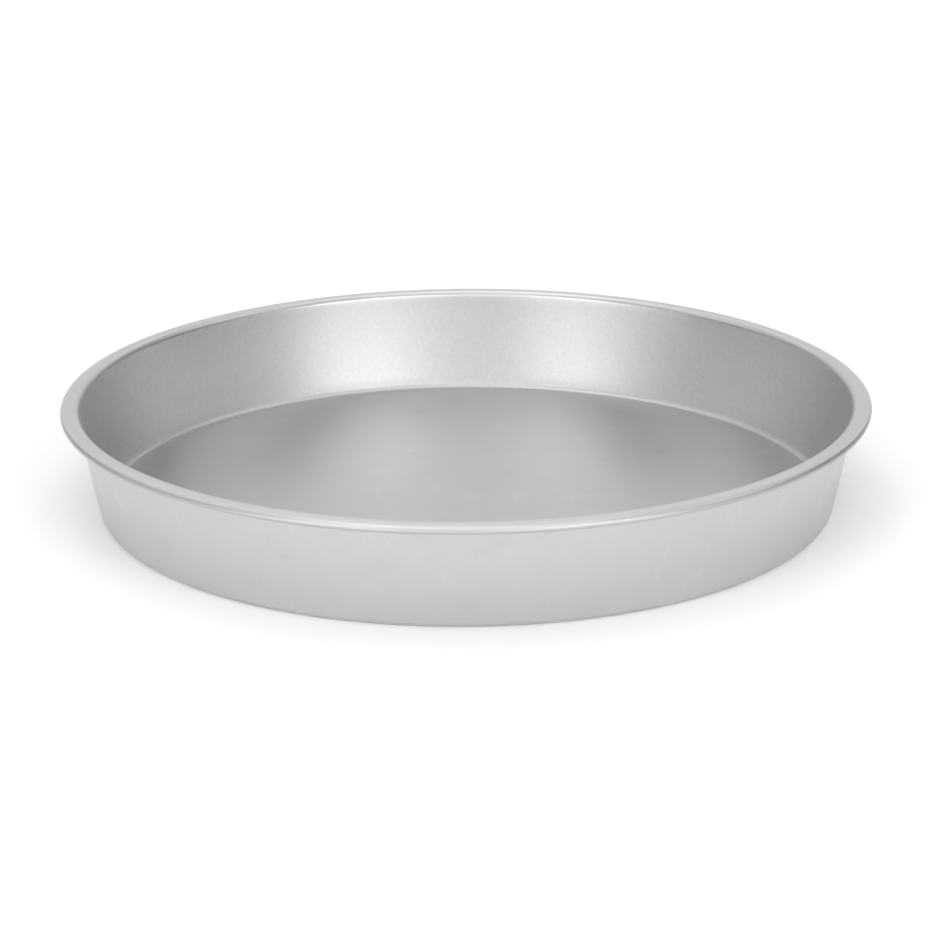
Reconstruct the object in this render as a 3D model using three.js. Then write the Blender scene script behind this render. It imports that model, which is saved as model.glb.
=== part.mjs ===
// Round flared baking pan: one pressed sheet whose edge is rolled outwards round a stiffening wire.
// Millimetres, +Z up, origin on the table at the middle of the base.
import * as THREE from "three";

// Driving dimensions of the pan
const RIM_DIAMETER = 300; // over the rolled rim
const PAN_HEIGHT = 40.5; // from the table to the top of the rim
const RIM_WIDTH = 6.7; // from the wall's inner line, drawn up to the rim's top, to the rim's outer edge
const WALL_FLARE_DEG = 9.8; // mean lean of the wall away from the vertical
const WALL_BOW_RADIUS = 370; // of the wall's middle line, which swells slightly out of the pan
const SHEET_THICKNESS = 0.5;
const CORNER_RADIUS = 2.5; // inside, between the floor and the wall
const RIM_BEND_RADIUS = 2.5; // on the upper face, between the wall and the rim

// Driving dimensions of the rolled edge
const WIRE_DIAMETER = 1.4;
const WIRE_CLEARANCE = 0.1; // between the wire and the sheet rolled round it
const TAIL_CLEARANCE = 0.8; // between the tucked-under end of the sheet and the wall

// Facets
const TURN_STEPS = 96; // round the pan, the same for every turned piece so that their facets line up
const BEND_STEPS = 6; // round the corner and the rim bend
const WALL_STEPS = 6; // up the bowed wall
const ROLL_STEPS = 8; // round the half turn of the roll
const WIRE_SIDES = 12;

// Where the edges of the sheet run
const rimRadius = RIM_DIAMETER / 2;
const mouthRadius = rimRadius - RIM_WIDTH;
const flare = THREE.MathUtils.degToRad(WALL_FLARE_DEG);
const wireRadius = WIRE_DIAMETER / 2;
const rollInnerRadius = wireRadius + WIRE_CLEARANCE;
const rollOuterRadius = rollInnerRadius + SHEET_THICKNESS;

// A bend between the wall and a level sheet reaches this far along the level sheet, per unit of radius
const bendReach = (1 - Math.sin(flare)) / Math.cos(flare);
const baseRadius = mouthRadius - (PAN_HEIGHT * Math.sin(flare) - SHEET_THICKNESS) / Math.cos(flare);
const cornerOuterRadius = CORNER_RADIUS + SHEET_THICKNESS;
const rimBendInnerRadius = RIM_BEND_RADIUS - SHEET_THICKNESS;

// Centres of the bends, as radius from the axis and height above the table
const cornerCentre = new THREE.Vector2(baseRadius - cornerOuterRadius * bendReach, cornerOuterRadius);
const rimBendCentre = new THREE.Vector2(
  mouthRadius + RIM_BEND_RADIUS * bendReach,
  PAN_HEIGHT - RIM_BEND_RADIUS,
);
const rollCentre = new THREE.Vector2(rimRadius - rollOuterRadius, PAN_HEIGHT - rollOuterRadius);

// The wall's bow, which runs smoothly into both bends
const wallOuterBow = WALL_BOW_RADIUS + SHEET_THICKNESS / 2;
const wallInnerBow = WALL_BOW_RADIUS - SHEET_THICKNESS / 2;
const wallCentre = meeting(
  cornerCentre,
  wallOuterBow - cornerOuterRadius,
  rimBendCentre,
  wallOuterBow + rimBendInnerRadius,
);

// Directions in the section, as angles from the outward radius
const OUTWARD = 0;
const UP = Math.PI / 2;
const DOWN = -Math.PI / 2;
const FOOT_OUT = heading(wallCentre, cornerCentre); // square to the foot of the wall, out of the pan
const HEAD_OUT = heading(wallCentre, rimBendCentre); // square to the head of the wall, out of the pan
const HEAD_IN = HEAD_OUT + Math.PI;

/** The point at given distances from a lower and an upper point, on the side of the pan's axis. */
function meeting(lower, lowerReach, upper, upperReach) {
  const way = upper.clone().sub(lower);
  const gap = way.length();
  way.divideScalar(gap);
  const along = (gap ** 2 + lowerReach ** 2 - upperReach ** 2) / (2 * gap);
  const aside = Math.sqrt(lowerReach ** 2 - along ** 2);
  return new THREE.Vector2(
    lower.x + along * way.x - aside * way.y,
    lower.y + along * way.y + aside * way.x,
  );
}

/** Angle from the outward radius of the line from one point to another. */
function heading(from, to) {
  return Math.atan2(to.y - from.y, to.x - from.x);
}

/** Points of an arc in the section, both ends included. */
function arc(centre, radius, from, to, steps) {
  const clockwise = to < from;
  const curve = new THREE.EllipseCurve(centre.x, centre.y, radius, radius, from, to, clockwise);
  return curve.getPoints(steps);
}

/** Turns a section about the pan's axis and stands it up along +Z. */
function turned(section) {
  return new THREE.LatheGeometry(section, TURN_STEPS).rotateX(UP);
}

/** Radius of the wall's outer face at a height, up to the underside of the rim. */
function wallOuterRadius(height) {
  const bendStart = rimBendCentre.y + rimBendInnerRadius * Math.sin(HEAD_IN);
  if (height <= bendStart) {
    return wallCentre.x + Math.sqrt(wallOuterBow ** 2 - (height - wallCentre.y) ** 2);
  }
  const rise = height - rimBendCentre.y;
  return rimBendCentre.x - Math.sqrt(rimBendInnerRadius ** 2 - rise ** 2);
}

/** Section of the sheet: out along its lower face, round the tail, and back along its upper face. */
function sheetSection() {
  const tailTop = rollCentre.y - rollInnerRadius;
  const tailBottom = rollCentre.y - rollOuterRadius;
  const tailRadius = wallOuterRadius(tailTop) + TAIL_CLEARANCE;
  return [
    new THREE.Vector2(0, 0),
    ...arc(cornerCentre, cornerOuterRadius, DOWN, FOOT_OUT, BEND_STEPS),
    ...arc(wallCentre, wallOuterBow, FOOT_OUT, HEAD_OUT, WALL_STEPS).slice(1, -1),
    ...arc(rimBendCentre, rimBendInnerRadius, HEAD_IN, UP, BEND_STEPS),
    ...arc(rollCentre, rollInnerRadius, UP, DOWN, ROLL_STEPS),
    new THREE.Vector2(tailRadius, tailTop),
    new THREE.Vector2(tailRadius, tailBottom),
    ...arc(rollCentre, rollOuterRadius, DOWN, UP, ROLL_STEPS),
    ...arc(rimBendCentre, RIM_BEND_RADIUS, UP, HEAD_IN, BEND_STEPS),
    ...arc(wallCentre, wallInnerBow, HEAD_OUT, FOOT_OUT, WALL_STEPS).slice(1, -1),
    ...arc(cornerCentre, CORNER_RADIUS, FOOT_OUT, DOWN, BEND_STEPS),
    new THREE.Vector2(0, SHEET_THICKNESS),
  ];
}

/** The pressed sheet: floor, corner, flared wall and the rim rolled round the wire. */
function panShell() {
  const aluminisedSteel = new THREE.MeshStandardMaterial({
    color: 0xc9c9c7,
    roughness: 0.42,
    metalness: 1,
  });
  const mesh = new THREE.Mesh(turned(sheetSection()), aluminisedSteel);
  mesh.name = "pan_shell";
  return mesh;
}

/** The butt-welded hoop of wire in the roll. */
function rimWire() {
  const drawnWire = new THREE.MeshStandardMaterial({
    color: 0x8f9092,
    roughness: 0.35,
    metalness: 1,
  });
  const section = arc(rollCentre, wireRadius, OUTWARD, OUTWARD + 2 * Math.PI, WIRE_SIDES);
  const mesh = new THREE.Mesh(turned(section), drawnWire);
  mesh.name = "rim_wire";
  return mesh;
}

const bakingPan = new THREE.Group();
bakingPan.name = "baking_pan";
bakingPan.add(panShell(), rimWire());

export default bakingPan;
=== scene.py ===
"""Looks of a round baking pan: a pressed shell of aluminised steel and the wire in its rolled rim.

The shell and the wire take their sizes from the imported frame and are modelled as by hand: a section is
drawn point by point and spun about the pan's axis, and the shell is given the sheet's thickness. The pan
stands on a pale sheet under soft studio lights, seen from the photograph's angle.
"""

import logging
import math
from collections.abc import Iterable
from dataclasses import dataclass
from enum import Enum
from typing import Any

import bpy
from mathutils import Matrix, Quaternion, Vector

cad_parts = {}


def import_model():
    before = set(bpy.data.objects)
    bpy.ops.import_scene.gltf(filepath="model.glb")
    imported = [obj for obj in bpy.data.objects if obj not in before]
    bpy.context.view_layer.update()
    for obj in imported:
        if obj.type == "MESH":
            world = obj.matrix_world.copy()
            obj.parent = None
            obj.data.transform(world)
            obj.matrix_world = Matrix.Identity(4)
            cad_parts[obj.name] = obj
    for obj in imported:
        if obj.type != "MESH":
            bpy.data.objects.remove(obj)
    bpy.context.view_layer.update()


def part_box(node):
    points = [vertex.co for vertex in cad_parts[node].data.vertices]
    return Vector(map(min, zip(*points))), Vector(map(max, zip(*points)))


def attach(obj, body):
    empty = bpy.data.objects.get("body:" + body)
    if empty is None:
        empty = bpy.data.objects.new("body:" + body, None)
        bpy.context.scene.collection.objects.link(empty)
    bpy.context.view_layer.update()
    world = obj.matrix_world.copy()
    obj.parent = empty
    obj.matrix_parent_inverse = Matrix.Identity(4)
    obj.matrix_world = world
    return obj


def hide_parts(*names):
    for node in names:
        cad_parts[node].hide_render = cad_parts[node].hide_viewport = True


LOG = logging.getLogger("baking_pan")
MM = 0.001
WELD = 0.001 * MM  # points closer than this are one
DOWN = -math.pi / 2  # straight down in the section, as an angle from the outward radius
BODY = "root"


class Node(Enum):
    """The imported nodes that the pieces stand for."""

    SHELL = "pan_shell"
    WIRE = "rim_wire"


class Slot(Enum):
    """The record's material slots."""

    SHEET = "aluminised_sheet"
    WIRE = "drawn_wire"


def linear(code: str) -> tuple[float, float, float, float]:
    """Turn an sRGB hex colour into linear values.

    Args:
        code: The colour as "#rrggbb".

    Returns:
        Linear red, green and blue, with alpha 1.
    """
    shares = [int(code[i : i + 2], 16) / 255 for i in (1, 3, 5)]
    red, green, blue = [s / 12.92 if s <= 0.04045 else ((s + 0.055) / 1.055) ** 2.4 for s in shares]
    return (red, green, blue, 1.0)


def add_node(
    tree: bpy.types.NodeTree, kind: str, inputs: dict[str | int, Any] | None = None, **settings: Any
) -> bpy.types.Node:
    """Add a node with its settings, and set or link its inputs.

    Args:
        tree: The node tree to add to.
        kind: The node's type name.
        inputs: Values or output sockets, by the name or number of the input they go to.
        **settings: The node's own properties.

    Returns:
        The new node.
    """
    node = tree.nodes.new(kind)
    for name, value in settings.items():
        setattr(node, name, value)
    for socket, value in (inputs or {}).items():
        if isinstance(value, bpy.types.NodeSocket):
            tree.links.new(value, node.inputs[socket])
        else:
            node.inputs[socket].default_value = value
    return node


def new_material(name: str) -> tuple[bpy.types.Material, bpy.types.NodeTree]:
    """Make an empty node material.

    Args:
        name: The material's name.

    Returns:
        The material and its node tree.
    """
    material = bpy.data.materials.new(name)
    material.use_nodes = True
    material.node_tree.nodes.clear()
    return material, material.node_tree


def select_only(piece: bpy.types.Object) -> None:
    """Select one object and make it the active one.

    Args:
        piece: The object.
    """
    bpy.ops.object.select_all(action="DESELECT")
    piece.select_set(True)
    bpy.context.view_layer.objects.active = piece


def spin_round(piece: bpy.types.Object, steps: int) -> None:
    """Spin a drawn section a full turn about the pan's axis, close its seam and face it outwards.

    Args:
        piece: The object whose mesh is the section, at the origin.
        steps: The number of steps round the pan.
    """
    select_only(piece)
    bpy.ops.object.mode_set(mode="EDIT")
    bpy.ops.mesh.select_all(action="SELECT")
    bpy.ops.mesh.spin(steps=steps, angle=2 * math.pi, center=(0, 0, 0), axis=(0, 0, 1))
    bpy.ops.mesh.select_all(action="SELECT")
    bpy.ops.mesh.remove_doubles(threshold=WELD)
    bpy.ops.mesh.normals_make_consistent(inside=False)
    bpy.ops.object.mode_set(mode="OBJECT")


def arc(centre: Vector, radius: float, start: float, end: float, steps: int) -> list[Vector]:
    """Points of an arc in the section, both ends included.

    Args:
        centre: The arc's centre, as radius from the axis and height.
        radius: The arc's radius.
        start: The first point's angle from the outward radius.
        end: The last point's angle.
        steps: The number of chords.

    Returns:
        The points in order.
    """
    angles = [start + (end - start) * i / steps for i in range(steps + 1)]
    return [centre + radius * Vector((math.cos(a), math.sin(a))) for a in angles]


def meeting(first: Vector, first_reach: float, second: Vector, second_reach: float) -> Vector:
    """The point that lies at given distances from two points of the section, left of the way between them.

    Args:
        first: The point that the way starts from.
        first_reach: The distance from it.
        second: The point that the way goes to.
        second_reach: The distance from it.

    Returns:
        The point.
    """
    gap = second - first
    along = (first_reach**2 - second_reach**2 + gap.length_squared) / (2 * gap.length)
    aside = math.sqrt(first_reach**2 - along**2)
    way = gap.normalized()
    return first + along * way + aside * Vector((-way.y, way.x))


def heading(start: Vector, end: Vector) -> float:
    """Angle from the outward radius of the way from one point of the section to another.

    Args:
        start: The point that the way starts from.
        end: The point that it goes to.

    Returns:
        The angle.
    """
    return math.atan2(end.y - start.y, end.x - start.x)


@dataclass(frozen=True)
class PanZones:
    """Sockets of a material that tell where on the pan a point lies."""

    place: bpy.types.NodeSocket
    height: bpy.types.NodeSocket
    inside: bpy.types.NodeSocket
    rolled: bpy.types.NodeSocket
    on_top: bpy.types.NodeSocket


@dataclass(frozen=True)
class AluminisedSteel:
    """Hot-dip aluminised steel sheet, skin-passed and deep drawn, as the pan leaves the press.

    Each pair of lengths says where one finish starts to give way to the next and where it has.
    """

    rim_radius: float
    rim_height: float
    bright_hex: str = "#cdcdcd"
    even_hex: str = "#c8c8c8"
    dull_hex: str = "#c4c4c4"
    tone_stops: tuple[float, float, float, float] = (0.28, 0.42, 0.58, 0.72)
    # Painted light: the rim's top is painted lighter as a highlight and its side darker as a shade
    rim_top_highlight_hex: str = "#d0d0d0"
    rim_side_shade_hex: str = "#c0c0c0"
    floor_roughness: float = 0.3
    corner_roughness: float = 0.48
    wall_roughness: float = 0.38
    rim_top_roughness: float = 0.34
    rim_side_roughness: float = 0.5
    roughness_spread: float = 0.01
    rim_lining: float = 0.6
    lining_turn: float = 0.25  # sets the blur across the lines
    grain_mm: float = 1.2
    cloud_mm: float = 14.0
    cloud_share: float = 0.85
    fleck_mm: float = 1.5
    fleck_stretch: float = 1.1
    fleck_height_mm: float = 0.0035
    inward_mm: tuple[float, float] = (10.0, 120.0)  # off the axis, facing it
    corner_mm: tuple[float, float] = (0.55, 1.2)  # above the table
    wall_mm: tuple[float, float] = (2.5, 6.0)  # above the table
    rolled_mm: tuple[float, float] = (6.4, 5.4)  # in from the rim's edge
    rim_top_mm: tuple[float, float] = (1.3, 0.6)  # below the rim's top

    def material(self) -> bpy.types.Material:
        """Build the node material.

        Returns:
            The material.
        """
        # Rolled aluminium coating: a neutral pale grey, satin, with faint cloudy patches and a frosty grain,
        # drawn coarser than it is. Drawing the wall has dulled it and left its inside finely flecked, while
        # the floor keeps the mill's smoother finish. The rim's top is painted lighter, a painted highlight,
        # and its side darker, a painted shade. The tools that rolled the rim left its top smoother than its
        # side, and fine lines round it that draw its reflections out into a smooth band.
        material, tree = new_material("Aluminised_Steel_Satin")
        zones = self.zones(tree)
        mottle = self.mottle(tree, zones)
        fleck = self.fleck(tree, zones)
        flecks_inside = add_node(
            tree, "ShaderNodeMath", {0: zones.inside, 1: fleck}, operation="MULTIPLY"
        ).outputs["Value"]
        relief = add_node(
            tree,
            "ShaderNodeBump",
            {"Height": flecks_inside, "Strength": 1.0, "Distance": self.fleck_height_mm * MM},
        ).outputs["Normal"]
        lined = add_node(
            tree, "ShaderNodeMapRange", {"Value": zones.rolled, "To Max": self.rim_lining}
        ).outputs["Result"]
        round_rim = add_node(
            tree, "ShaderNodeVectorMath", {0: (0.0, 0.0, 1.0), 1: zones.place}, operation="CROSS_PRODUCT"
        ).outputs["Vector"]
        surface = add_node(
            tree,
            "ShaderNodeBsdfPrincipled",
            {
                "Base Color": self.tone(tree, zones, mottle, fleck),
                "Metallic": 1.0,
                "Roughness": self.sheen(tree, zones, mottle),
                "Anisotropic": lined,
                "Anisotropic Rotation": self.lining_turn,
                "Tangent": round_rim,
                "Normal": relief,
            },
        ).outputs["BSDF"]
        add_node(tree, "ShaderNodeOutputMaterial", {"Surface": surface})
        return material

    def zones(self, tree: bpy.types.NodeTree) -> PanZones:
        """Tell the inside of the wall, the rolled rim and its top from the rest of the sheet.

        Args:
            tree: The material's node tree.

        Returns:
            The sockets that tell them apart.
        """
        coordinates = add_node(tree, "ShaderNodeTexCoord")
        place, facing = coordinates.outputs["Object"], coordinates.outputs["Normal"]
        parts = add_node(tree, "ShaderNodeSeparateXYZ", {"Vector": place})
        height = parts.outputs["Z"]
        # The sheet faces the pan's axis only on the inside of the wall
        outward = add_node(
            tree, "ShaderNodeVectorMath", {0: facing, 1: place}, operation="DOT_PRODUCT"
        ).outputs["Value"]
        inside = add_node(
            tree,
            "ShaderNodeMapRange",
            {"Value": outward, "From Min": -self.inward_mm[0] * MM, "From Max": -self.inward_mm[1] * MM},
        ).outputs["Result"]
        flat = add_node(
            tree, "ShaderNodeCombineXYZ", {"X": parts.outputs["X"], "Y": parts.outputs["Y"], "Z": 0.0}
        ).outputs["Vector"]
        reach = add_node(tree, "ShaderNodeVectorMath", {0: flat}, operation="LENGTH").outputs["Value"]
        rolled = add_node(
            tree,
            "ShaderNodeMapRange",
            {
                "Value": reach,
                "From Min": self.rim_radius - self.rolled_mm[0] * MM,
                "From Max": self.rim_radius - self.rolled_mm[1] * MM,
            },
        ).outputs["Result"]
        on_top = add_node(
            tree,
            "ShaderNodeMapRange",
            {
                "Value": height,
                "From Min": self.rim_height - self.rim_top_mm[0] * MM,
                "From Max": self.rim_height - self.rim_top_mm[1] * MM,
            },
        ).outputs["Result"]
        return PanZones(place, height, inside, rolled, on_top)

    def mottle(self, tree: bpy.types.NodeTree, zones: PanZones) -> bpy.types.NodeSocket:
        """Lay cloudy patches and a grain over the whole sheet.

        Args:
            tree: The material's node tree.
            zones: Where on the pan a point lies.

        Returns:
            The pattern's socket.
        """
        grain = add_node(
            tree,
            "ShaderNodeTexNoise",
            {"Vector": zones.place, "Scale": 1 / (self.grain_mm * MM), "Detail": 0.0},
        ).outputs["Fac"]
        cloud = add_node(
            tree,
            "ShaderNodeTexNoise",
            {"Vector": zones.place, "Scale": 1 / (self.cloud_mm * MM), "Detail": 2.0, "Roughness": 0.5},
        ).outputs["Fac"]
        return add_node(
            tree, "ShaderNodeMix", {"Factor": self.cloud_share, "A": grain, "B": cloud}, data_type="FLOAT"
        ).outputs["Result"]

    def fleck(self, tree: bpy.types.NodeTree, zones: PanZones) -> bpy.types.NodeSocket:
        """Lay the fine flecks that the press leaves, slightly drawn out up the wall.

        Args:
            tree: The material's node tree.
            zones: Where on the pan a point lies.

        Returns:
            The pattern's socket.
        """
        drawn = add_node(
            tree, "ShaderNodeMapping", {"Vector": zones.place, "Scale": (1.0, 1.0, 1 / self.fleck_stretch)}
        ).outputs["Vector"]
        return add_node(
            tree,
            "ShaderNodeTexNoise",
            {"Vector": drawn, "Scale": 1 / (self.fleck_mm * MM), "Detail": 1.0},
        ).outputs["Fac"]

    def tone(
        self,
        tree: bpy.types.NodeTree,
        zones: PanZones,
        mottle: bpy.types.NodeSocket,
        fleck: bpy.types.NodeSocket,
    ) -> bpy.types.NodeSocket:
        """Colour the sheet: mottled, flecked on the inside of the wall, and on the rim a painted highlight on
        its top and a painted shade on its side.

        Args:
            tree: The material's node tree.
            zones: Where on the pan a point lies.
            mottle: The pattern over the whole sheet.
            fleck: The pattern on the inside of the wall.

        Returns:
            The colour's socket.
        """
        pattern = add_node(
            tree, "ShaderNodeMix", {"Factor": zones.inside, "A": mottle, "B": fleck}, data_type="FLOAT"
        ).outputs["Result"]
        colour = add_node(tree, "ShaderNodeValToRGB", {"Fac": pattern})
        dull_stop, even_start, even_end, bright_stop = self.tone_stops
        ramp = colour.color_ramp
        ramp.elements[0].position = dull_stop
        ramp.elements[0].color = linear(self.dull_hex)
        ramp.elements[1].position = bright_stop
        ramp.elements[1].color = linear(self.bright_hex)
        for position in (even_start, even_end):
            ramp.elements.new(position).color = linear(self.even_hex)
        # The rim is painted as light falls on it: a painted highlight on its top, a painted shade on its side
        rim_painted_light = add_node(
            tree,
            "ShaderNodeMix",
            {"Factor": zones.on_top, 6: linear(self.rim_side_shade_hex), 7: linear(self.rim_top_highlight_hex)},
            data_type="RGBA",
        ).outputs[2]
        return add_node(
            tree,
            "ShaderNodeMix",
            {"Factor": zones.rolled, 6: colour.outputs["Color"], 7: rim_painted_light},
            data_type="RGBA",
        ).outputs[2]

    def sheen(
        self, tree: bpy.types.NodeTree, zones: PanZones, mottle: bpy.types.NodeSocket
    ) -> bpy.types.NodeSocket:
        """Roughen the sheet: least on the floor, most in the corner, and by the tools' work on the rim.

        Args:
            tree: The material's node tree.
            zones: Where on the pan a point lies.
            mottle: The pattern that makes the roughness slightly uneven.

        Returns:
            The roughness's socket.
        """
        into_corner = add_node(
            tree,
            "ShaderNodeMapRange",
            {
                "Value": zones.height,
                "From Min": self.corner_mm[0] * MM,
                "From Max": self.corner_mm[1] * MM,
                "To Min": self.floor_roughness,
                "To Max": self.corner_roughness,
            },
        ).outputs["Result"]
        up_wall = add_node(
            tree,
            "ShaderNodeMapRange",
            {
                "Value": zones.height,
                "From Min": self.wall_mm[0] * MM,
                "From Max": self.wall_mm[1] * MM,
                "To Max": self.wall_roughness - self.corner_roughness,
            },
        ).outputs["Result"]
        drawn_down = add_node(
            tree, "ShaderNodeMath", {0: into_corner, 1: up_wall}, operation="ADD"
        ).outputs["Value"]
        rim_sheen = add_node(
            tree,
            "ShaderNodeMix",
            {"Factor": zones.on_top, "A": self.rim_side_roughness, "B": self.rim_top_roughness},
            data_type="FLOAT",
        ).outputs["Result"]
        worked = add_node(
            tree,
            "ShaderNodeMix",
            {"Factor": zones.rolled, "A": drawn_down, "B": rim_sheen},
            data_type="FLOAT",
        ).outputs["Result"]
        uneven = add_node(
            tree,
            "ShaderNodeMapRange",
            {"Value": mottle, "To Min": -self.roughness_spread, "To Max": self.roughness_spread},
        ).outputs["Result"]
        return add_node(tree, "ShaderNodeMath", {0: worked, 1: uneven}, operation="ADD").outputs["Value"]


@dataclass(frozen=True)
class DrawnWire:
    """Bright drawn steel wire, with fine lines along its length from the die."""

    bright_hex: str = "#b4b5b7"
    dull_hex: str = "#96989a"
    roughness_low: float = 0.25
    roughness_high: float = 0.4
    line_mm: float = 0.15

    def material(self) -> bpy.types.Material:
        """Build the node material.

        Returns:
            The material.
        """
        # Cold drawn low-carbon wire: darker and glossier than the sheet, with hair lines round the hoop
        material, tree = new_material("Drawn_Steel_Wire")
        place = add_node(tree, "ShaderNodeTexCoord").outputs["Object"]
        parts = add_node(tree, "ShaderNodeSeparateXYZ", {"Vector": place})
        flat = add_node(
            tree, "ShaderNodeCombineXYZ", {"X": parts.outputs["X"], "Y": parts.outputs["Y"], "Z": 0.0}
        ).outputs["Vector"]
        reach = add_node(tree, "ShaderNodeVectorMath", {0: flat}, operation="LENGTH").outputs["Value"]
        section = add_node(
            tree, "ShaderNodeCombineXYZ", {"X": reach, "Y": parts.outputs["Z"], "Z": 0.0}
        ).outputs["Vector"]
        lines = add_node(
            tree,
            "ShaderNodeTexNoise",
            {"Vector": section, "Scale": 1 / (self.line_mm * MM), "Detail": 2.0},
        ).outputs["Fac"]
        colour = add_node(
            tree,
            "ShaderNodeMix",
            {"Factor": lines, 6: linear(self.dull_hex), 7: linear(self.bright_hex)},
            data_type="RGBA",
        ).outputs[2]
        roughness = add_node(
            tree,
            "ShaderNodeMapRange",
            {"Value": lines, "To Min": self.roughness_high, "To Max": self.roughness_low},
        ).outputs["Result"]
        surface = add_node(
            tree,
            "ShaderNodeBsdfPrincipled",
            {"Base Color": colour, "Metallic": 1.0, "Roughness": roughness},
        ).outputs["BSDF"]
        add_node(tree, "ShaderNodeOutputMaterial", {"Surface": surface})
        return material


@dataclass(frozen=True)
class PaleSheet:
    """The matt white sheet that the pan stands on, lit from below, more so far from the pan."""

    tone_hex: str = "#f4f4f4"
    glow_hex: str = "#ffffff"
    near_glow: float = 0.118
    near_reach: float = 0.55
    far_glow: float = 1.0
    far_reach: float = 2.2
    fibre_mm: float = 0.6
    tooth_mm: float = 0.05
    tooth_strength: float = 0.1

    def material(self) -> bpy.types.Material:
        """Build the node material.

        Returns:
            The material.
        """
        # Uncoated studio paper: dead matt, white from the light below, with a tooth too fine to see from here
        material, tree = new_material("Studio_Paper_White")
        place = add_node(tree, "ShaderNodeTexCoord").outputs["Object"]
        tooth = add_node(
            tree, "ShaderNodeTexNoise", {"Vector": place, "Scale": 1 / (self.fibre_mm * MM)}
        ).outputs["Fac"]
        relief = add_node(
            tree,
            "ShaderNodeBump",
            {"Height": tooth, "Strength": self.tooth_strength, "Distance": self.tooth_mm * MM},
        ).outputs["Normal"]
        reach = add_node(tree, "ShaderNodeVectorMath", {0: place}, operation="LENGTH").outputs["Value"]
        glow = add_node(
            tree,
            "ShaderNodeMapRange",
            {
                "Value": reach,
                "From Min": self.near_reach,
                "From Max": self.far_reach,
                "To Min": self.near_glow,
                "To Max": self.far_glow,
            },
        ).outputs["Result"]
        surface = add_node(
            tree,
            "ShaderNodeBsdfPrincipled",
            {
                "Base Color": linear(self.tone_hex),
                "Roughness": 1.0,
                "Specular IOR Level": 0.0,
                "Normal": relief,
                "Emission Color": linear(self.glow_hex),
                "Emission Strength": glow,
            },
        ).outputs["BSDF"]
        add_node(tree, "ShaderNodeOutputMaterial", {"Surface": surface})
        return material


@dataclass
class RimWire:
    """The hoop of wire that the rim is rolled round."""

    hoop_radius: float
    centre_height: float
    wire_radius: float
    finish: DrawnWire
    sides: int = 20
    turn_steps: int = 256

    @classmethod
    def from_frame(cls) -> "RimWire":
        """Read the hoop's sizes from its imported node.

        Returns:
            The hoop.
        """
        low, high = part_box(Node.WIRE.value)
        wire_radius = (high.z - low.z) / 2
        return cls(
            hoop_radius=(high.x - low.x) / 2 - wire_radius,
            centre_height=(high.z + low.z) / 2,
            wire_radius=wire_radius,
            finish=DrawnWire(),
        )

    def settle(self, centre: Vector) -> None:
        """Lay the hoop in the middle of the roll.

        Args:
            centre: The roll's centre, as radius from the axis and height.
        """
        self.hoop_radius, self.centre_height = centre

    def build(self) -> bpy.types.Object:
        """Model the hoop and dress it.

        Returns:
            The finished piece.
        """
        bpy.ops.object.select_all(action="DESELECT")
        bpy.ops.mesh.primitive_circle_add(
            vertices=self.sides,
            radius=self.wire_radius,
            location=(self.hoop_radius, 0.0, self.centre_height),
            rotation=(math.pi / 2, 0.0, 0.0),
        )
        piece = bpy.context.object
        piece.name = "rim_wire_hoop"
        bpy.ops.object.transform_apply(location=True, rotation=True, scale=True)
        spin_round(piece, self.turn_steps)
        bpy.ops.object.shade_smooth()
        piece.data.materials.append(self.finish.material())
        return piece


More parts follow.
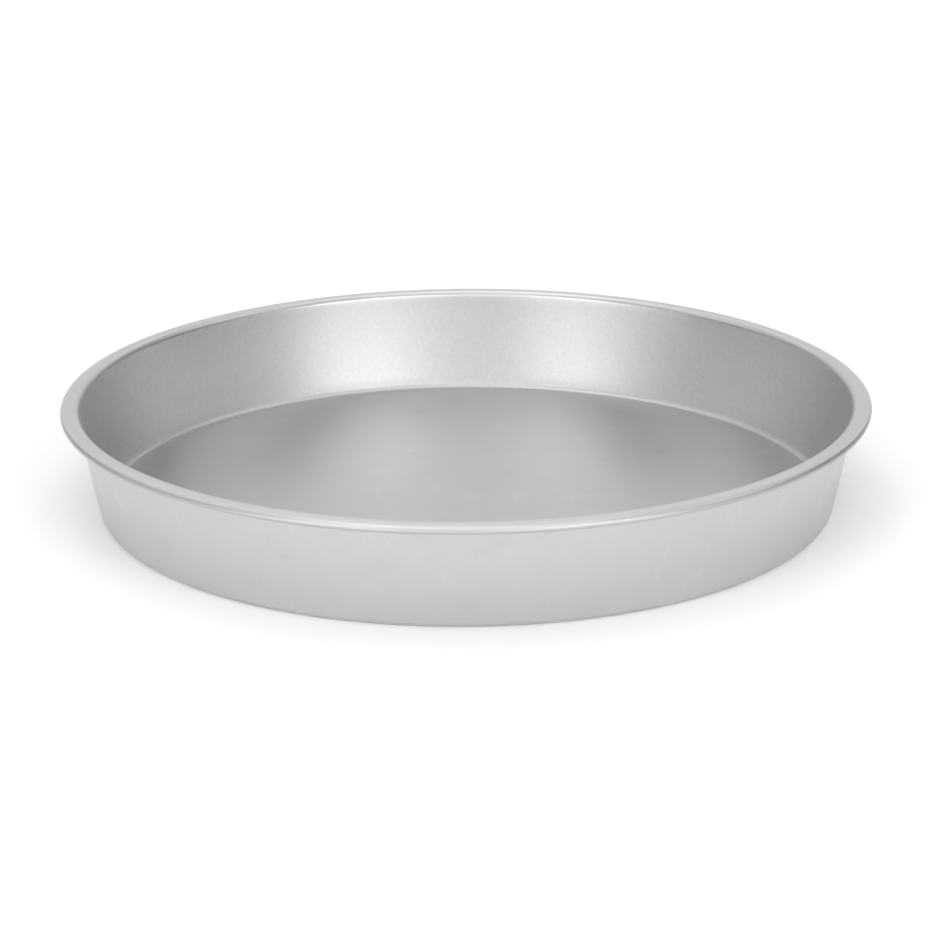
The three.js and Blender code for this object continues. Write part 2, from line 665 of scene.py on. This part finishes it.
@dataclass
class PanShell:
    """The pressed sheet: floor, corner, flared wall and the rim rolled round the wire."""

    rim_radius: float
    height: float
    roll_centre: Vector
    roll_inner_radius: float
    finish: AluminisedSteel
    sheet: float = 0.5 * MM
    rim_width: float = 6.7 * MM
    flare: float = math.radians(9.8)
    wall_bow_radius: float = 370.0 * MM
    corner_radius: float = 2.5 * MM
    rim_bend_radius: float = 2.5 * MM
    tail_clearance: float = 0.8 * MM
    crown: float = 0.5 * MM  # that the rim's top falls from the bend to the roll
    crown_radius: float = 11.5 * MM
    edge_break: float = 0.08 * MM
    edge_segments: int = 2
    edge_angle: float = math.radians(60)
    smooth_angle: float = math.radians(40)
    rounding: float = 0.002 * MM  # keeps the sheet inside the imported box
    hold: float = 0.4 * MM  # from the end of a straight stretch to the ring that holds its shading
    floor_rings: int = 10
    wall_rings: int = 16
    crown_rings: int = 5
    bend_steps: int = 14
    roll_steps: int = 24
    turn_steps: int = 288

    @classmethod
    def from_frame(cls, wire: RimWire) -> "PanShell":
        """Read the shell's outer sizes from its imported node.

        The rim is crowned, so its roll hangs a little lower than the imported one.

        Args:
            wire: The hoop that the rim is rolled round.

        Returns:
            The shell.
        """
        _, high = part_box(Node.SHELL.value)
        rim_radius, height = high.x - cls.rounding, high.z - cls.rounding
        roll_radius = high.z - wire.centre_height
        return cls(
            rim_radius=rim_radius,
            height=height,
            roll_centre=Vector((rim_radius - roll_radius, height - cls.crown - roll_radius)),
            roll_inner_radius=roll_radius - cls.sheet,
            finish=AluminisedSteel(rim_radius=high.x, rim_height=high.z),
        )

    def build(self) -> bpy.types.Object:
        """Model the shell and dress it.

        Returns:
            The finished piece.
        """
        piece = self.draw_section()
        spin_round(piece, self.turn_steps)
        thickness = piece.modifiers.new("sheet", "SOLIDIFY")
        thickness.thickness = self.sheet
        thickness.offset = 0.0
        thickness.use_even_offset = True
        bpy.ops.object.modifier_apply(modifier=thickness.name)
        broken = piece.modifiers.new("cut_edge", "BEVEL")
        broken.width = self.edge_break
        broken.segments = self.edge_segments
        broken.limit_method = "ANGLE"
        broken.angle_limit = self.edge_angle
        bpy.ops.object.modifier_apply(modifier=broken.name)
        bpy.ops.object.shade_smooth_by_angle(angle=self.smooth_angle)
        piece.data.materials.append(self.finish.material())
        return piece

    def draw_section(self) -> bpy.types.Object:
        """Draw the sheet's middle line by extruding a vertex from point to point.

        Returns:
            The object that holds the line.
        """
        points = self.midline()
        bpy.ops.object.select_all(action="DESELECT")
        bpy.ops.mesh.primitive_circle_add(vertices=3, radius=self.hold)
        piece = bpy.context.object
        piece.name = "pan_shell_sheet"
        bpy.ops.object.mode_set(mode="EDIT")
        bpy.ops.mesh.select_all(action="SELECT")
        bpy.ops.mesh.merge(type="CENTER")
        bpy.ops.transform.translate(value=(points[0].x, 0.0, points[0].y))
        for here, there in zip(points, points[1:]):
            step = there - here
            bpy.ops.mesh.extrude_region_move(TRANSFORM_OT_translate={"value": (step.x, 0.0, step.y)})
        bpy.ops.object.mode_set(mode="OBJECT")
        return piece

    def midline(self) -> list[Vector]:
        """The sheet's middle line, from the axis out along the floor and up round the rim to the tail.

        Returns:
            Points as radius from the axis and height.
        """
        half = self.sheet / 2
        reach = (1 - math.sin(self.flare)) / math.cos(self.flare)
        mouth = self.rim_radius - self.rim_width
        base = mouth - (self.height * math.sin(self.flare) - self.sheet) / math.cos(self.flare)
        corner_outer = self.corner_radius + self.sheet
        corner_mid, bend_mid = corner_outer - half, self.rim_bend_radius - half
        roll_mid = self.roll_inner_radius + half

        # Centres of the bends, the wall's bow and the rim's crown
        corner = Vector((base - corner_outer * reach, corner_outer))
        bend = Vector((mouth + self.rim_bend_radius * reach, self.height - self.rim_bend_radius))
        bow = meeting(corner, self.wall_bow_radius - corner_mid, bend, self.wall_bow_radius + bend_mid)
        crown = meeting(self.roll_centre, self.crown_radius - roll_mid, bend, self.crown_radius - bend_mid)

        # Each arc runs smoothly into the next
        foot, head = heading(bow, corner), heading(bow, bend)
        crown_inner, crown_outer = heading(crown, bend), heading(crown, self.roll_centre)
        corner_arc = arc(corner, corner_mid, DOWN, foot, self.bend_steps)
        wall_arc = arc(bow, self.wall_bow_radius, foot, head, self.wall_rings)
        bend_arc = arc(bend, bend_mid, math.pi + head, crown_inner, self.bend_steps)
        crown_arc = arc(crown, self.crown_radius, crown_inner, crown_outer, self.crown_rings)
        roll_arc = arc(self.roll_centre, roll_mid, crown_outer, DOWN, self.roll_steps)

        rise = roll_arc[-1].y - bow.y
        wall_outside = bow.x + math.sqrt((self.wall_bow_radius + half) ** 2 - rise**2)
        tail_end = Vector((wall_outside + self.tail_clearance, roll_arc[-1].y))
        runs = [
            self.run(Vector((0.0, half)), corner_arc[0], self.floor_rings),
            corner_arc,
            wall_arc,
            bend_arc,
            crown_arc,
            roll_arc,
            self.run(roll_arc[-1], tail_end, 1),
        ]
        points = [point for run in runs for point in run]
        return [p for i, p in enumerate(points) if i == 0 or (p - points[i - 1]).length > WELD]

    def run(self, start: Vector, end: Vector, parts: int) -> list[Vector]:
        """Points of a straight stretch, with one close to each end that holds the bend's shading there.

        Args:
            start: The first point.
            end: The last point.
            parts: The number of parts between the two holding points.

        Returns:
            The points in order.
        """
        step = (end - start).normalized() * self.hold
        inner_start, inner_end = start + step, end - step
        between = [inner_start.lerp(inner_end, i / parts) for i in range(parts + 1)]
        return [start, *between, end]


@dataclass
class SoftLight:
    """A soft box: a rectangular light aimed at the pan, with its angles in degrees and sizes in metres."""

    name: str
    azimuth: float
    elevation: float
    width: float
    tall: float
    radiance: float
    distance: float = 1.5

    def build(self, target: Vector) -> bpy.types.Object:
        """Place the light.

        Args:
            target: The point that it faces.

        Returns:
            The light.
        """
        data = bpy.data.lights.new(self.name, "AREA")
        data.shape = "RECTANGLE"
        data.size = self.width
        data.size_y = self.tall
        data.energy = self.radiance * math.pi * self.width * self.tall
        light = bpy.data.objects.new(self.name, data)
        light.visible_camera = False
        bpy.context.scene.collection.objects.link(light)
        azimuth, elevation = math.radians(self.azimuth), math.radians(self.elevation)
        away = Vector(
            (
                math.sin(azimuth) * math.cos(elevation),
                -math.cos(azimuth) * math.cos(elevation),
                math.sin(elevation),
            )
        )
        light.location = target + away * self.distance
        light.rotation_euler = away.to_track_quat("Z", "Y").to_euler()
        return light


@dataclass
class Studio:
    """The pale sheet, the lights and the camera."""

    target: Vector
    sheet_size: float = 40.0
    sheet_drop: float = 0.05 * MM
    ambient: float = 0.01
    camera_distance: float = 1.05
    camera_elevation: float = 18.08
    camera_roll: float = -0.4
    sensor_mm: float = 36.0
    clip_start: float = 0.01
    focal_px: float = 2799.5
    frame_px: int = 940
    pan_px: tuple[float, float] = (466.2, 442.15)

    def build(self) -> None:
        """Build the whole studio."""
        self.build_sheet()
        self.build_ambient()
        for light in self.lights():
            light.build(self.target)
        self.build_camera()

    def lights(self) -> Iterable[SoftLight]:
        """The soft boxes, each as name, azimuth, elevation, width, height and radiance.

        Most of these numbers were fitted to the photograph by another program, not chosen by hand.

        Returns:
            The lights to build.
        """
        return (
            SoftLight("overhead_box", 180.0, 90.0, 1.03, 1.54, 1.52),
            SoftLight("backdrop", 180.0, 20.7, 2.22, 1.15, 0.79),
            SoftLight("backdrop_top", -174.2, 48.8, 1.68, 0.68, 0.82),
            SoftLight("left_strip", -43.0, 9.0, 1.54, 0.4, 2.0),
            SoftLight("left_box", -36.3, 23.2, 0.77, 0.94, 2.23),
            SoftLight("left_lamp", -26.6, 38.4, 0.28, 0.45, 1.25),
            SoftLight("right_strip", 28.9, 10.0, 1.31, 0.4, 2.16),
            SoftLight("right_box", 35.7, 24.0, 0.88, 0.88, 2.01),
            SoftLight("right_lamp", 20.9, 29.4, 0.58, 0.4, 2.12),
            SoftLight("right_card", 63.1, 10.5, 1.03, 0.3, 1.29),
            SoftLight("camera_card", -4.4, 21.7, 0.43, 1.21, 1.71),
            SoftLight("front_top", 0.0, 56.0, 1.6, 0.8, 0.38),
            SoftLight("left_back", -130.0, 17.0, 0.9, 0.9, 0.34),
            SoftLight("right_back", 130.0, 17.0, 0.9, 0.9, 0.22),
            SoftLight("left_wing", -97.5, 47.8, 1.11, 1.83, 1.06),
            SoftLight("right_top", 105.0, 65.0, 0.9, 0.4, 0.72),
            SoftLight("right_wing", 98.0, 43.3, 1.1, 0.86, 1.28),
        )

    def build_sheet(self) -> bpy.types.Object:
        """Lay the pale sheet, just clear of the base so that the two don't share a plane.

        Returns:
            The sheet.
        """
        bpy.ops.object.select_all(action="DESELECT")
        bpy.ops.mesh.primitive_plane_add(size=self.sheet_size, location=(0.0, 0.0, -self.sheet_drop))
        sheet = bpy.context.object
        sheet.name = "studio_sheet"
        sheet.data.materials.append(PaleSheet().material())
        return sheet

    def build_ambient(self) -> None:
        """Fill the room with an even light."""
        world = bpy.data.worlds.new("studio_room")
        world.use_nodes = True
        world.node_tree.nodes.clear()
        glow = add_node(
            world.node_tree, "ShaderNodeBackground", {"Color": (1, 1, 1, 1), "Strength": self.ambient}
        ).outputs["Background"]
        add_node(world.node_tree, "ShaderNodeOutputWorld", {"Surface": glow})
        bpy.context.scene.world = world

    def build_camera(self) -> bpy.types.Object:
        """Set up the photograph's view.

        Returns:
            The camera.
        """
        data = bpy.data.cameras.new("photo_camera")
        data.sensor_width = self.sensor_mm
        data.lens = self.focal_px * self.sensor_mm / self.frame_px
        data.shift_x = (self.frame_px / 2 - self.pan_px[0]) / self.frame_px
        data.shift_y = (self.pan_px[1] - self.frame_px / 2) / self.frame_px
        data.clip_start = self.clip_start
        camera = bpy.data.objects.new("photo_camera", data)
        bpy.context.scene.collection.objects.link(camera)
        elevation = math.radians(self.camera_elevation)
        away = Vector((0.0, -math.cos(elevation), math.sin(elevation)))
        camera.location = self.target + away * self.camera_distance
        level = away.to_track_quat("Z", "Y")
        tilt = Quaternion((0.0, 0.0, 1.0), math.radians(self.camera_roll))
        camera.rotation_euler = (level @ tilt).to_euler()
        bpy.context.scene.camera = camera
        return camera


def dress(piece: bpy.types.Object, node: Node) -> None:
    """Tie a piece to the frame.

    Args:
        piece: The finished piece.
        node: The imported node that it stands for.
    """
    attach(piece, BODY)
    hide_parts(node.value)
    LOG.info("%s stands for %s: %d faces", piece.name, node.value, len(piece.data.polygons))


def main() -> None:
    """Build the pan and its studio."""
    logging.basicConfig(level=logging.INFO, format="%(name)s: %(message)s")
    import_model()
    wire = RimWire.from_frame()
    shell = PanShell.from_frame(wire)
    wire.settle(shell.roll_centre)
    dress(shell.build(), Node.SHELL)
    dress(wire.build(), Node.WIRE)
    Studio(target=Vector((0.0, 0.0, shell.height / 2))).build()
    scene = bpy.context.scene
    scene.view_settings.view_transform = "Standard"
    scene.view_settings.look = "None"


if __name__ == "__main__":
    main()
